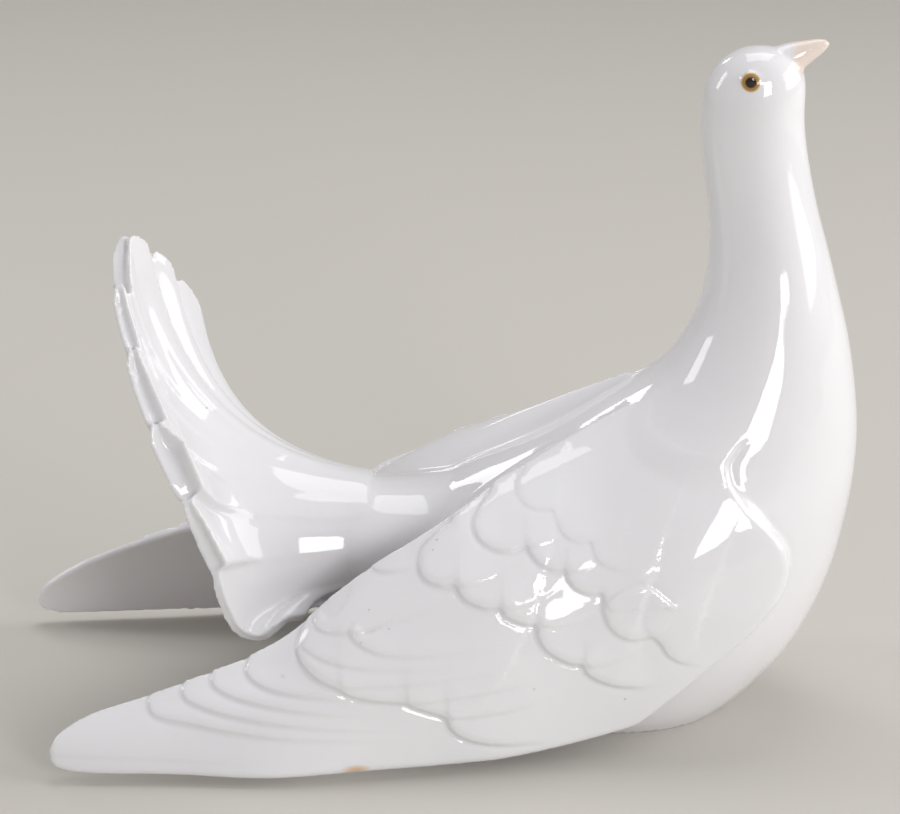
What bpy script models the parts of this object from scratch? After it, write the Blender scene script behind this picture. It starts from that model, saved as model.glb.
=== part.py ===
"""A glazed porcelain dove with a long raised neck, drooped wings and a fanned tail, cast as one piece.

It stands on the flat underside of its belly. +X points where the bird faces, +Z is up, and the origin is at the
level of the underside, below the middle of the bird's outline. The bird's own form is written in shares of its
height: one share is a 244th.
"""

import math

import bmesh
import bpy
from mathutils import Vector

# Driving sizes, in metres
HEIGHT = 0.244
SHARE = HEIGHT / 244
FEATHER_THICKNESS = 0.0034
FEATHER_STEP = 0.0018
TAIL_THICKNESS = 0.0040
TAIL_ROOT_DEPTH = 0.0030
WING_THICKNESS = 0.0070
WING_ROOT_DEPTH = 0.0220
SHOULDER_ROUNDING = 0.0080
BACK_ROUNDING = 0.0040
EDGE_ROUNDING = 0.0016
EYE_RADIUS = 0.0036
EYE_RELIEF = 0.0007

# Fineness of the cast surface
GRAIN = 0.0013
SOFTENING_PASSES = 3
FACETS = 9400
RING_POINTS = 40
WING_STEPS = 180
WING_ROWS = 64
TAIL_SLICES = 260
TAIL_LEVELS = 34

# Torso, neck and head as level slices: height, back, front, half width, place of the widest point
BODY_SLICES = (
    (-4, -40, 36, 33, 0),
    (0, -45, 41, 36, 0),
    (6, -54, 48, 41, 0),
    (14, -63, 56, 44.5, 2),
    (25, -73, 65, 47.5, 4),
    (40, -82, 73, 50, 6),
    (55, -88, 78.5, 51, 8),
    (70, -84, 82, 50.5, 12),
    (85, -60, 84.5, 47.5, 20),
    (100, -28, 85.5, 42, 30),
    (112, -8, 85, 38, 37),
    (125, 12, 83.5, 33, 44),
    (140, 23.5, 80.8, 28.5, 50),
    (155, 29, 77, 25, 52.5),
    (170, 31, 73, 22, 52),
    (184, 30.3, 69, 19.8, 50),
    (197, 28.6, 66, 18, 48),
    (208, 27.3, 64, 16.9, 46),
    (218, 27, 63, 16, 45.5),
    (227, 28, 63, 14.8, 45.5),
    (233, 30.4, 62.3, 12.8, 46),
    (237, 33.2, 60.3, 10.6, 46.5),
    (240, 37.2, 57, 7.8, 47),
    (241.8, 41.6, 52.6, 4.6, 47.2),
    (242.5, 46.8, 47.8, 0.3, 47.3),
)

# Rump, as upright slices: place, height of the middle, half height, half width
RUMP_SLICES = (
    (15, 84, 22, 26),
    (-5, 83, 24.5, 30),
    (-28, 74, 24.5, 33),
    (-45, 66.5, 24.5, 33.5),
    (-60, 62, 24.5, 33),
    (-85, 62, 23.5, 29),
    (-100, 67, 20.5, 25),
    (-112, 74, 16, 20),
    (-122, 82, 11, 14),
    (-130, 89, 6, 8),
    (-134, 92, 0.4, 0.4),
)

# Beak, from the face to the tip: place, height, half height, half width
BEAK_SLICES = (
    (50, 235.6, 6.0, 6.6),
    (56.5, 237.6, 6.0, 5.6),
    (61, 239.2, 5.2, 4.6),
    (65, 241.0, 3.9, 3.3),
    (68.2, 242.4, 2.6, 2.2),
    (70.2, 243.2, 1.3, 1.2),
    (71.0, 243.4, 0.2, 0.2),
)
EYE_PLACE = (42.7, 232)

# Wing, as upright sections from the shoulder to the tip: place, then the upper edge, the bulge and the
# lower edge, each as distance out from the middle and height
WING_SECTIONS = (
    (66, (26, 112), (46, 98), (44, 24)),
    (45, (22, 120), (55, 100), (51, 26)),
    (20, (12, 124), (63, 100), (57, 17)),
    (-10, (15, 112), (67, 93), (63, 9)),
    (-40, (28, 97), (69, 86), (72, 5)),
    (-60, (41, 86), (70, 76), (76, 4)),
    (-90, (50, 68), (73, 58), (80, 3.5)),
    (-122, (57.5, 44), (73, 36), (82, 3.5)),
    (-155, (64, 31.5), (75, 23), (80, 4)),
    (-185, (69, 23), (77, 16), (79, 4)),
    (-200, (72.5, 18), (77, 13), (78, 5)),
)

# Tail rim from the lowest right feather round to the lowest left one: place, distance out, height
TAIL_RIM = (
    (-6.2, -111.2, -38, 45.4),
    (-5.9, -117.3, -42, 45.9),
    (-5.7, -121.4, -45, 44.1),
    (-5.5, -125.2, -47, 41.9),
    (-5.3, -129.3, -49, 42.4),
    (-5.1, -134.0, -50.5, 46.0),
    (-4.9, -137.3, -51, 53.0),
    (-4.7, -139.9, -51, 61.3),
    (-4.5, -141.6, -50, 68.4),
    (-4, -151, -46, 93),
    (-3, -162, -36, 117.3),
    (-2, -170, -24, 140.2),
    (-1, -175, -12, 158.8),
    (-0.3, -174.6, -3, 170.5),
    (0.3, -173, 0, 174.5),
    (0.7, -171.3, 4, 173.3),
    (1.0, -169.6, 8, 170.3),
    (1.3, -168.6, 11, 166.1),
    (1.4, -167.7, 13, 165.9),
    (1.8, -164.6, 17, 163.3),
    (2.1, -162.1, 20, 159),
    (2.3, -161.2, 21.5, 154.8),
    (2.4, -160.7, 23, 153.6),
    (2.7, -158.2, 27, 150.9),
    (3.0, -155.4, 31, 145.2),
    (3.3, -153.5, 34, 139.3),
    (4, -152.8, 40, 127.1),
    (5, -154.7, 46.5, 112.6),
    (6, -147, 51, 90),
    (7, -130, 50, 50),
    (7.6, -116, 43, 34),
    (8, -103, 36, 30),
)
TAIL_ROOT = (-88, 61)
TAIL_ROOT_RADIUS = 23

# Tail feathers, each from the side nearer the middle of the tail to its outer side: the two places on the
# rim, how far its outer edge stands over the next feather, how far its hollow underside reaches back, and
# how soon its outer edge rises
TAIL_FEATHERS = (
    (0.35, -1, 4.2, 4.2, 1.0),
    (-1, -2, 3.2, 3.6, 1.0),
    (-2, -3, 5.7, 4.3, 1.2),
    (-3, -4, 7.3, 4.7, 0.35),
    (-4, -4.52, 6.5, 3.6, 1.2),
    (-4.52, -6.4, 2.0, 2.6, 1.0),
    (0.35, 1.35, 3.0, 3.0, 1.0),
    (1.35, 2.35, 3.0, 3.0, 1.0),
    (2.35, 4.0, 3.0, 3.5, 1.0),
    (4.0, 5.0, 4.0, 3.5, 1.0),
    (5.0, 6.1, 4.0, 3.0, 1.0),
    (6.1, 8.2, 2.2, 2.2, 1.0),
)

# How far a tip reaches past the rim and how far the notch beside it goes back, in shares of the tail's length
TIP_REACH = 0.02
NOTCH_DEPTH = 0.015
RIM_HOLLOW = 0.002

# The wing's front edge and its end, as places at each share of its depth
WING_FRONT = (
    (0, 22), (0.1, 30), (0.2, 38), (0.3, 39), (0.42, 44), (0.55, 53), (0.66, 59), (0.76, 56), (0.83, 50),
    (0.89, 42), (0.94, 26), (1, 6),
)
WING_END = ((0, -183), (0.08, -190.5), (0.2, -195.5), (0.45, -198), (0.7, -198.5), (0.9, -197), (1, -192))

# Feather relief, seen straight from the side: place and height of each tip, the slope of the feather in
# degrees, and its width. The rows run from the long feathers up to the shoulder.
LONG_FEATHERS = (
    ((-165, 31), (-161.5, 23.5), (-157, 21), (-134, 18), (-102, 15), (-58, 13)),
    ((-153, 34), (-150, 28), (-146, 25.5), (-134, 22.5), (-102, 19), (-62, 16)),
    ((-143, 38), (-140, 31), (-136, 28.5), (-128, 26.5), (-102, 24), (-72, 22)),
    ((-131, 42), (-127.5, 34), (-124, 31.5), (-118, 30.2), (-98, 29), (-72, 28)),
)
SECONDARIES = (
    (-104, 60, 26, 10), (-112, 51.5, 19, 11), (-96, 49, 10, 12), (-113, 42, 10, 15),
    (-103, 33.5, 8, 12), (-78, 27.5, 7, 11), (-63, 17.5, 4, 15),
)
COVERTS = (
    (-77, 76.5, 30, 10), (-72, 71, 27, 15), (-59, 61, 27, 14), (-44, 55.5, 27, 14),
    (-31, 45, 30, 16), (-15, 33.5, 30, 14),
)
UPPER_COVERTS = (
    (-53, 88, 35, 12), (-52, 80.5, 30, 15), (-33, 74, 30, 14), (-21, 65, 30, 14), (-7, 51, 30, 19),
    (15, 36, 35, 13),
)
SHOULDER_COVERTS = ((-37, 90, 32, 14), (-24, 82, 32, 15), (-10, 71, 32, 14))

# Each row of short feathers with its height in feather steps, its length, the length of its round tips, and
# how far a feather's lower edge stands over its upper one in feather steps
FEATHER_ROWS = (
    (SECONDARIES, 1.15, 75, 7.0, 0.5),
    (COVERTS, 1.0, 40, 8.0, 0.35),
    (UPPER_COVERTS, 0.85, 34, 8.5, 0.3),
    (SHOULDER_COVERTS, 0.45, 30, 8.5, 0.15),
)
FEATHER_SOFTNESS = 0.9

# Places between which the long feathers fade out, the wing thins towards its end, and its inside grows down
# to the body; the last pair is where that growth ends above the lower edge, as shares of the wing's depth
LONG_FEATHERS_FADE = (-80, -55)
WING_THINS = (-150, -40)
WING_ROOT = (-60, 20)
WING_ROOT_FOOT = (0.65, 0.95)

# The left wing, from this place back, reaches further than the right one, lies closer in, and its rear edge
# stands higher
LEFT_WING_FROM = -90
LEFT_WING_LENGTH = 110
LEFT_WING_STRETCH = 0.185
LEFT_WING_RISE = 11
LEFT_WING_TUCK = 0.13


def smooth_through(table, at):
    """The row of a table at a value of its first column, read from a smooth curve through the rows."""
    rows = sorted(table)
    last = len(rows) - 1
    at = min(max(at, rows[0][0]), rows[last][0])
    i = max(k for k in range(last) if rows[k][0] <= at or k == 0)
    span = rows[i + 1][0] - rows[i][0]
    s = (at - rows[i][0]) / span

    def slope(k, column):
        before, after = rows[max(k - 1, 0)], rows[min(k + 1, last)]
        return (after[column] - before[column]) / (after[0] - before[0]) * span

    values = []
    for column in range(1, len(rows[0])):
        start, end = rows[i][column], rows[i + 1][column]
        leave, arrive = slope(i, column), slope(i + 1, column)
        values.append(
            start * (2 * s**3 - 3 * s**2 + 1)
            + leave * (s**3 - 2 * s**2 + s)
            + end * (3 * s**2 - 2 * s**3)
            + arrive * (s**3 - s**2)
        )
    return values


def loft(mesh, rings):
    """Adds a closed skin through rings of points, all with the same count, and caps both ends."""
    made = [[mesh.verts.new(point) for point in ring] for ring in rings]
    count = len(made[0])
    for ring, following in zip(made, made[1:]):
        for k in range(count):
            after = (k + 1) % count
            mesh.faces.new((ring[k], ring[after], following[after], following[k]))
    mesh.faces.new(reversed(made[0]))
    mesh.faces.new(made[-1])


def around(count=RING_POINTS):
    return [2 * math.pi * k / count for k in range(count)]


def blended(low, high, share):
    return low + (high - low) * share


def eased(value, low, high):
    t = min(max((value - low) / (high - low), 0.0), 1.0)
    return t * t * (3 - 2 * t)


def body(mesh):
    steps = 120
    rings = []
    lowest, highest = BODY_SLICES[0][0], BODY_SLICES[-1][0]
    for n in range(steps + 1):
        # Levels crowd together at the crown, so that it closes round.
        level = blended(lowest, highest, math.sin(math.pi / 2 * n / steps))
        back, front, half_width, middle = smooth_through(BODY_SLICES, level)
        rings.append(
            [
                Vector((
                    middle + ((front - middle) if math.cos(a) > 0 else (middle - back)) * math.cos(a),
                    half_width * math.sin(a),
                    level,
                )) * SHARE
                for a in around()
            ]
        )
    loft(mesh, rings)


def upright_slices(mesh, table, steps):
    """A form that runs along X, through upright oval slices."""
    first, last = table[0][0], table[-1][0]
    rings = []
    for n in range(steps + 1):
        place = blended(first, last, math.sin(math.pi / 2 * n / steps))
        height, half_height, half_width = smooth_through(table, place)
        rings.append(
            [
                Vector((place, half_width * math.cos(a), height + half_height * math.sin(a))) * SHARE
                for a in around()
            ]
        )
    loft(mesh, rings)


def wing_line(place, q):
    upper, bulge, lower = wing_section(place)
    return upper * (1 - q) ** 2 + bulge * (2 * q * (1 - q)) + lower * q**2


def wing_section(place):
    flat = [(row[0], *row[1], *row[2], *row[3]) for row in WING_SECTIONS]
    v = smooth_through(flat, place)
    return Vector((v[0], v[1])), Vector((v[2], v[3])), Vector((v[4], v[5]))


def wing_depth(place):
    """The length of the wing's section there, from its upper edge to its lower one."""
    upper, bulge, lower = wing_section(place)
    return ((bulge - upper).length + (lower - bulge).length + (lower - upper).length) / 2


def wing_point(side, place, q, lift):
    """A point on one wing's outer sheet. q runs from 0 at the upper edge to 1 at the lower one."""
    here = wing_line(place, q)
    along = wing_line(place, q + 0.01) - wing_line(place, q - 0.01)
    outward = Vector((-along.y, along.x)).normalized()
    if outward.x < 0:
        outward = -outward
    lifted = here * SHARE + outward * lift
    if side > 0 and place < LEFT_WING_FROM:
        beyond = (LEFT_WING_FROM - place) / LEFT_WING_LENGTH
        rise = LEFT_WING_RISE * math.sin(math.pi * min(1, beyond)) * (1 - q)
        return Vector((
            (place - LEFT_WING_STRETCH * LEFT_WING_LENGTH * beyond) * SHARE,
            lifted.x * (1 - LEFT_WING_TUCK * beyond),
            lifted.y + rise * SHARE,
        ))
    return Vector((place * SHARE, side * lifted.x, lifted.y))


def tail_point(t, feather_place, lift):
    """A point on the tail's upper sheet. t runs from 0 at the rump to 1 at the rim."""
    def sheet(t, u):
        rim = Vector(smooth_through(TAIL_RIM, u))
        turn = math.atan2(rim.y, rim.z - TAIL_ROOT[1])
        root = Vector((
            TAIL_ROOT[0],
            TAIL_ROOT_RADIUS * math.sin(turn),
            TAIL_ROOT[1] + TAIL_ROOT_RADIUS * math.cos(turn),
        ))
        bend = Vector((blended(root.x, rim.x, 0.86), blended(root.y, rim.y, 0.3), blended(root.z, rim.z, 0.1)))
        return root * (1 - t) ** 2 + bend * (2 * t * (1 - t)) + rim * t**2

    here = sheet(t, feather_place)
    along = sheet(t + 0.01, feather_place) - sheet(t - 0.01, feather_place)
    across = sheet(t, feather_place + 0.05) - sheet(t, feather_place - 0.05)
    upper = across.cross(along).normalized()
    return here * SHARE + upper * lift


def rounded(distance, radius):
    """How far a surface drops within a radius of its edge, as a quarter circle."""
    t = min(max(distance / radius, 0.0), 1.0)
    return radius * (1 - math.sqrt(max(0.0, 1 - (1 - t) ** 2)))


def blade_height(x, z, tip, rise, length, round_length, tilt):
    """The relief of one feather: its height over the wing where it covers a point, and 0 elsewhere."""
    tip_x, tip_z, slope, width = tip
    turn = math.radians(slope)
    back = (x - tip_x) * math.cos(turn) + (z - tip_z) * math.sin(turn)
    aside = ((z - tip_z) * math.cos(turn) - (x - tip_x) * math.sin(turn)) / (width / 2)
    inside = 1 - aside**2 - (max(0.0, round_length - back) / round_length) ** 2
    if inside <= 0 or back >= length:
        return 0.0
    edge = eased(inside * width / 4, 0.0, FEATHER_SOFTNESS)
    fade = min(1.0, 1 - back / length)
    height = rise * (0.15 + 0.85 * fade + 0.35 * (1 - aside**2)) - tilt * aside
    return max(0.0, height) * edge * eased(length - back, 0.0, length * 0.3)


def wing_relief(x, z):
    """Height of the feather carving over the smooth wing, in shares, where it is seen from the side."""
    step = FEATHER_STEP / SHARE
    height = 0.0
    for k, line in enumerate(LONG_FEATHERS):
        tip = line[0][0]
        above = z - smooth_through(line, x)[0]
        strip = step * (0.75 + 0.12 * k) * eased(above, 0.0, FEATHER_SOFTNESS)
        strip *= eased(x, tip - 0.2, tip + 0.6) * (1 - eased(x, *LONG_FEATHERS_FADE))
        height = max(height, strip * (1 - 0.02 * min(max(above, 0.0), 20.0)))
    for tips, share, length, round_length, tilt in FEATHER_ROWS:
        for k, tip in enumerate(tips):
            rise = step * share * (1 - 0.05 * k)
            height = max(height, blade_height(x, z, tip, rise, length, round_length, tilt * step))
    return height


def wing_thickness(x, q):
    """Thickness of the wing in shares: thin at its end, and in front solid down to the body."""
    blade = blended(FEATHER_THICKNESS, WING_THICKNESS, eased(x, *WING_THINS)) / SHARE
    foot_low, foot_high = WING_ROOT_FOOT
    return blade + WING_ROOT_DEPTH / SHARE * eased(x, *WING_ROOT) * (1 - eased(q, foot_low, foot_high))


def wing(mesh, side):
    """One wing as a closed slab, with the feathers on its outer side."""
    fronts = [smooth_through(WING_FRONT, k / WING_ROWS)[0] for k in range(WING_ROWS + 1)]
    ends = [smooth_through(WING_END, k / WING_ROWS)[0] for k in range(WING_ROWS + 1)]
    shoulder, edge = SHOULDER_ROUNDING / SHARE, EDGE_ROUNDING / SHARE
    rings = []
    for n in range(WING_STEPS + 1):
        outer, inner = [], []
        for k in range(WING_ROWS + 1):
            q = k / WING_ROWS
            x = blended(fronts[k], ends[k], n / WING_STEPS)
            depth = wing_depth(x)
            upper = blended(BACK_ROUNDING / SHARE, edge, eased(-x, 0, 120))
            drop = rounded(fronts[k] - x, shoulder) + rounded(x - ends[k], edge)
            drop += rounded(q * depth, upper) + rounded((1 - q) * depth, edge)
            thickness = wing_thickness(x, q)
            lift = max(-drop, -1.1 * shoulder, 0.5 * edge - thickness)
            lift += wing_relief(x, wing_line(x, q).y) * eased(q, 0.0, 0.05)
            outer.append(wing_point(side, x, q, lift * SHARE))
            inner.append(wing_point(side, x, q, -thickness * SHARE))
        rings.append(outer + inner[::-1])
    loft(mesh, rings)


def tail_sides(t, u):
    """How far the tail's upper and lower sides lie from its sheet, and how far its rim reaches past it."""
    half = TAIL_THICKNESS / SHARE / 2
    over, under, past = half, half, 0.0
    for inner, outer, rise, reach, soon in TAIL_FEATHERS:
        share = (u - inner) / (outer - inner)
        if 0 <= share < 1:
            closing = 1 - eased(share, 0.94, 1.0)
            step = (rise - half) * min(1.0, share / soon) ** 0.9 * closing
            hollow = (reach - half) * eased(share, 0, 0.25) * (1 - 0.3 * share) * closing
            over = half + step * blended(0.1, 1.0, eased(t, 0.35, 1.0))
            under = half + hollow * blended(0.2, 1.0, eased(t, 0.4, 0.95))
            past = -NOTCH_DEPTH * eased(share, 0.8, 0.97)
            if inner != TAIL_FEATHERS[0][0]:
                past += TIP_REACH * (1 - eased(share, 0.05, 0.4))
    return over, under + TAIL_ROOT_DEPTH / SHARE * (1 - eased(t, 0.3, 0.8)), past


def tail(mesh):
    """The tail as one closed fan. Its upper side steps from feather to feather, and the feathers are hollow
    at their ends, along the rim."""
    rings = []
    for n in range(TAIL_SLICES + 1):
        u = blended(TAIL_RIM[0][0], TAIL_RIM[-1][0], n / TAIL_SLICES)
        upper, lower = [], []
        for k in range(TAIL_LEVELS + 1):
            t = k / TAIL_LEVELS
            over, under, past = tail_sides(t, u)
            place = t + past * eased(t, 0.9, 1.0)
            upper.append(tail_point(place, u, over * SHARE))
            lower.append(tail_point(place, u, -under * SHARE))
        hollow = tail_point(1.0 - RIM_HOLLOW * (over + under) + past, u, (over - under) / 2 * SHARE)
        rings.append(upper + [hollow] + lower[::-1])
    loft(mesh, rings)


def ball(mesh, centre, radii):
    made = bmesh.ops.create_uvsphere(mesh, u_segments=24, v_segments=16, radius=1.0)
    for vertex in made["verts"]:
        vertex.co = Vector(c + r * x for c, r, x in zip(centre, radii, vertex.co))


def eyes(mesh):
    place, level = EYE_PLACE
    for side in (-1, 1):
        back, front, half_width, middle = smooth_through(BODY_SLICES, level)
        reach = (front - middle) if place > middle else (middle - back)
        out = half_width * math.sqrt(1 - ((place - middle) / reach) ** 2) * SHARE
        ball(
            mesh,
            (place * SHARE, side * (out - EYE_RADIUS * 0.3), level * SHARE),
            (EYE_RADIUS, EYE_RADIUS * 0.3 + EYE_RELIEF, EYE_RADIUS),
        )


def clear_scene():
    for old in list(bpy.data.objects):
        bpy.data.objects.remove(old)


def new_object(name, mesh, collection):
    data = bpy.data.meshes.new(name)
    mesh.to_mesh(data)
    mesh.free()
    made = bpy.data.objects.new(name, data)
    collection.objects.link(made)
    return made


def evaluated_mesh(source):
    graph = bpy.context.evaluated_depsgraph_get()
    return bpy.data.meshes.new_from_object(source.evaluated_get(graph))


def stand_on_origin(mesh):
    """Moves the figure level, so that the origin lies below the middle of its outline."""
    for axis in (0, 1):
        places = [vertex.co[axis] for vertex in mesh.verts]
        middle = (min(places) + max(places)) / 2
        print("middle", round(middle, 5))
        for vertex in mesh.verts:
            vertex.co[axis] -= middle


def porcelain():
    material = bpy.data.materials.new("glazed_porcelain")
    material.use_nodes = True
    shader = material.node_tree.nodes["Principled BSDF"]
    shader.inputs["Base Color"].default_value = (0.86, 0.86, 0.85, 1)
    shader.inputs["Roughness"].default_value = 0.1
    shader.inputs["Metallic"].default_value = 0.0
    return material


def main():
    clear_scene()
    collection = bpy.data.collections.new("dove_statue")
    bpy.context.scene.collection.children.link(collection)
    clay = bmesh.new()
    body(clay)
    upright_slices(clay, RUMP_SLICES, 40)
    upright_slices(clay, BEAK_SLICES, 24)
    for side in (-1, 1):
        wing(clay, side)
    tail(clay)
    eyes(clay)
    bmesh.ops.recalc_face_normals(clay, faces=clay.faces)
    dove = new_object("dove", clay, collection)

    # One skin over all the shapes, as the slip takes it, then softened as the glaze does
    cast = dove.modifiers.new("cast", "REMESH")
    cast.mode = "VOXEL"
    cast.voxel_size = GRAIN
    glaze = dove.modifiers.new("glaze", "SMOOTH")
    glaze.factor = 0.5
    glaze.iterations = SOFTENING_PASSES
    bpy.context.view_layer.update()
    skin = evaluated_mesh(dove)
    print("skin faces", len(skin.polygons))
    dove.modifiers.clear()
    dove.data = skin
    thin = dove.modifiers.new("facets", "DECIMATE")
    thin.ratio = min(1.0, FACETS / (2 * len(skin.polygons)))
    bpy.context.view_layer.update()
    facets = evaluated_mesh(dove)
    dove.modifiers.clear()
    base = bmesh.new()
    base.from_mesh(facets)
    cut = bmesh.ops.bisect_plane(
        base, geom=base.verts[:] + base.edges[:] + base.faces[:],
        plane_co=(0, 0, 0), plane_no=(0, 0, -1), clear_outer=True,
    )
    rim = [e for e in cut["geom_cut"] if isinstance(e, bmesh.types.BMEdge)]
    bmesh.ops.holes_fill(base, edges=rim, sides=0)
    bmesh.ops.triangulate(base, faces=base.faces[:])
    stand_on_origin(base)
    base.to_mesh(facets)
    base.free()
    dove.data = facets
    dove.data.materials.append(porcelain())
    dove.data.shade_smooth()


main()
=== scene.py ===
import bpy
import math
import numpy as np
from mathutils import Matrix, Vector


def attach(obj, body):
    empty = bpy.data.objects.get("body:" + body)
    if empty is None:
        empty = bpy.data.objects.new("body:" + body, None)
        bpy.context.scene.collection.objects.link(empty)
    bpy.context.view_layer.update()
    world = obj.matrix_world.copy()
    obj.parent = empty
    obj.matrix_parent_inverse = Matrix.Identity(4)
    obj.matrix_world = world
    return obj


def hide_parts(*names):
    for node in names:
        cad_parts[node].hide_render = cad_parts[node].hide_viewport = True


bl_info = {
    "name": "Porcelain dove",
    "version": (1, 0, 0),
    "blender": (4, 5, 0),
    "location": "3D View > Sidebar > Dove",
    "description": "A slip-cast, glazed porcelain dove on a pale studio floor",
    "category": "Add Mesh",
}

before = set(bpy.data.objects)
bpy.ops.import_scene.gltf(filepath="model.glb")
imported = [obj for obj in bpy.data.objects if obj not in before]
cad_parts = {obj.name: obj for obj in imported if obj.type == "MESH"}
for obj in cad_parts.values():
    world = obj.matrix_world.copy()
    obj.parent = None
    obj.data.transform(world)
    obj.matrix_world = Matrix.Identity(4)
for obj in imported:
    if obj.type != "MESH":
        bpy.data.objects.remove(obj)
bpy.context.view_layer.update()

# Sizes and places down to FLAWS_AND_PIT_SHADE are in millimetres from MIDDLE, a point of the frame on the floor below the
# breast: place is along the bird towards its beak, out is away from its middle, height is above the floor.
MM = 0.001
MIDDLE = Vector((0.0661, 0.0008, 0.0))

# Torso, neck and head as level slices: height, back, front, half width, place of the widest point
BODY_SLICES = (
    (-4, -40, 36, 33, 0),
    (0, -45, 41, 36, 0),
    (6, -54, 48, 41, 0),
    (14, -63, 56, 44.5, 2),
    (25, -73, 65, 47.5, 4),
    (40, -82, 73, 50, 6),
    (55, -88, 78.5, 51, 8),
    (70, -84, 82, 50.5, 12),
    (85, -60, 84.5, 47.5, 20),
    (100, -28, 85.5, 42, 30),
    (112, -8, 85, 38, 37),
    (125, 12, 83.5, 33, 44),
    (140, 23.5, 80.8, 28.5, 50),
    (155, 29, 77, 25, 52.5),
    (170, 31, 73, 22, 52),
    (184, 30.3, 69, 19.8, 50),
    (197, 28.6, 66, 18, 48),
    (208, 27.3, 64, 16.9, 46),
    (218, 27, 63, 16, 45.5),
    (227, 28, 63, 15.3, 45.5),
    (233, 30.4, 62.3, 14.0, 46),
    (237, 33.2, 60.3, 12.0, 46.5),
    (240, 37.2, 57, 9.0, 47),
    (241.8, 41.6, 52.6, 5.2, 47.2),
    (242.5, 46.8, 47.8, 0.3, 47.3),
)

# Rump, as upright slices: place, height of the middle, half height, half width
RUMP_SLICES = (
    (15, 84, 22, 26),
    (-5, 83, 24.5, 30),
    (-28, 74, 24.5, 33),
    (-45, 66.5, 24.5, 33.5),
    (-60, 61, 24.2, 33),
    (-85, 60.3, 22.6, 29),
    (-100, 65, 19.6, 25),
    (-112, 72.5, 15.6, 20),
    (-122, 82, 11, 14),
    (-130, 89, 6, 8),
    (-134, 92, 0.4, 0.4),
)

# Beak, from the face to the tip: place, height, half height, half width
BEAK_SLICES = (
    (50, 235.6, 6.0, 6.6),
    (56.5, 237.6, 6.0, 5.6),
    (61, 239.2, 5.2, 4.6),
    (65, 241.0, 3.9, 3.3),
    (68.2, 242.4, 2.6, 2.2),
    (70.2, 243.2, 1.3, 1.2),
    (71.0, 243.4, 0.2, 0.2),
)

# Wing, as upright sections from the shoulder to the tip: place, then the upper edge, the bulge and the
# lower edge, each as distance out from the middle and height
WING_SECTIONS = (
    (66, 26, 112, 46, 98, 44, 24),
    (45, 22, 120, 55, 100, 51, 26),
    (20, 12, 124, 63, 100, 57, 17),
    (-10, 15, 112, 65.5, 93, 62, 9),
    (-40, 28, 97, 66, 86, 69.5, 5),
    (-60, 41, 86, 66.5, 76, 72.5, 4),
    (-90, 50, 68, 69.5, 58, 77, 3.5),
    (-122, 57.5, 44, 73, 36, 82, 3.5),
    (-155, 64, 31.5, 75, 23, 80, 4),
    (-185, 69, 23, 77, 16, 79, 4),
    (-200, 72.5, 18, 77, 13, 78, 5),
)
# The left wing differs beyond OUTER_WING: how much longer it is there, how high its upper edge bows up, and
# how far it is drawn in towards the body
OUTER_WING = -90
OUTER_WING_LENGTH = 110
LEFT_WING_STRETCH = 0.185
LEFT_WING_RISE = 11
LEFT_WING_TUCK = 0.13

# The wing's slab: how far its shoulder and its feathers' ends are rounded and how deep that may go, its
# thickness before the long feathers, how much thicker it is where it joins the body, and the least that
# rounding leaves of it
SHOULDER_ROUND = 4.0
TIP_ROUND = 1.6
DEEPEST_ROUND = 9.0
WING_THICKNESS = 7.0
ROOT_THICKNESS = 22
LEAST_THICKNESS = 0.8

# The back that closes the valley between a wing's upper edge and the rump: its front, each side's back end
# and height over the wing's edge, its inner edge, how far its outer edge stays inside the wing's, its half
# thickness and its slope up to the wing
MANTLE_FRONT = 34
MANTLE_BACK = {-1: -62, 1: -104}
MANTLE_RISE = {-1: -4.0, 1: 3.0}
MANTLE_INNER = 9.0
MANTLE_INSET = 1.5
MANTLE_THICKNESS = 7.0
MANTLE_SLOPE = 3.0

# Tail rim from the lowest right feather round to the lowest left one: place, distance out, height
TAIL_RIM = (
    (-6.2, -111.2, -38, 45.4),
    (-5.9, -117.3, -42, 45.9),
    (-5.7, -121.4, -45, 44.1),
    (-5.5, -125.2, -47, 41.9),
    (-5.3, -129.3, -49, 42.4),
    (-5.1, -134.0, -50.5, 46.0),
    (-4.9, -137.3, -51, 53.0),
    (-4.7, -139.9, -51, 61.3),
    (-4.5, -141.6, -50, 68.4),
    (-4, -151, -46, 93),
    (-3, -162, -36, 117.3),
    (-2, -170, -24, 140.2),
    (-1, -175, -12, 158.8),
    (-0.3, -174.6, -3, 170.5),
    (0.3, -173, 0, 174.5),
    (0.7, -171.3, 4, 173.3),
    (1.0, -169.6, 8, 170.3),
    (1.3, -168.6, 11, 166.1),
    (1.4, -167.7, 13, 165.9),
    (1.8, -164.6, 17, 163.3),
    (2.1, -162.1, 20, 159),
    (2.3, -161.2, 21.5, 154.8),
    (2.4, -160.7, 23, 153.6),
    (2.7, -158.2, 27, 150.9),
    (3.0, -155.4, 31, 145.2),
    (3.3, -153.5, 34, 139.3),
    (4, -152.8, 40, 127.1),
    (5, -154.7, 46.5, 112.6),
    (6, -147, 51, 90),
    (7, -130, 50, 50),
    (7.6, -116, 43, 34),
    (8, -103, 36, 30),
)
# The place on the rim where the two top feathers begin, then how far past the rim a feather's inner corner
# stands on the near side, the notch between two lobes on the far side, and how far an outer corner falls
# back, as shares of the tail's length
TOP_FEATHER = 0.35
CORNER = 0.022
NOTCH = 0.02
OUTER_CORNER = 0.015
TAIL_ROOT = (-88, 61)
TAIL_ROOT_RADIUS = 23
# How much thicker the tail is at its foot, the thickness of the lips round a feather's hollow end, its
# greatest share of the feather, the hollow's depth for each millimetre of feather, and the tail's length
TAIL_FOOT_THICKNESS = 3.0
TAIL_LIP = 1.1
TAIL_LIP_SHARE = 0.3
TAIL_HOLLOW = 0.6
TAIL_LENGTH = 110

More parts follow.
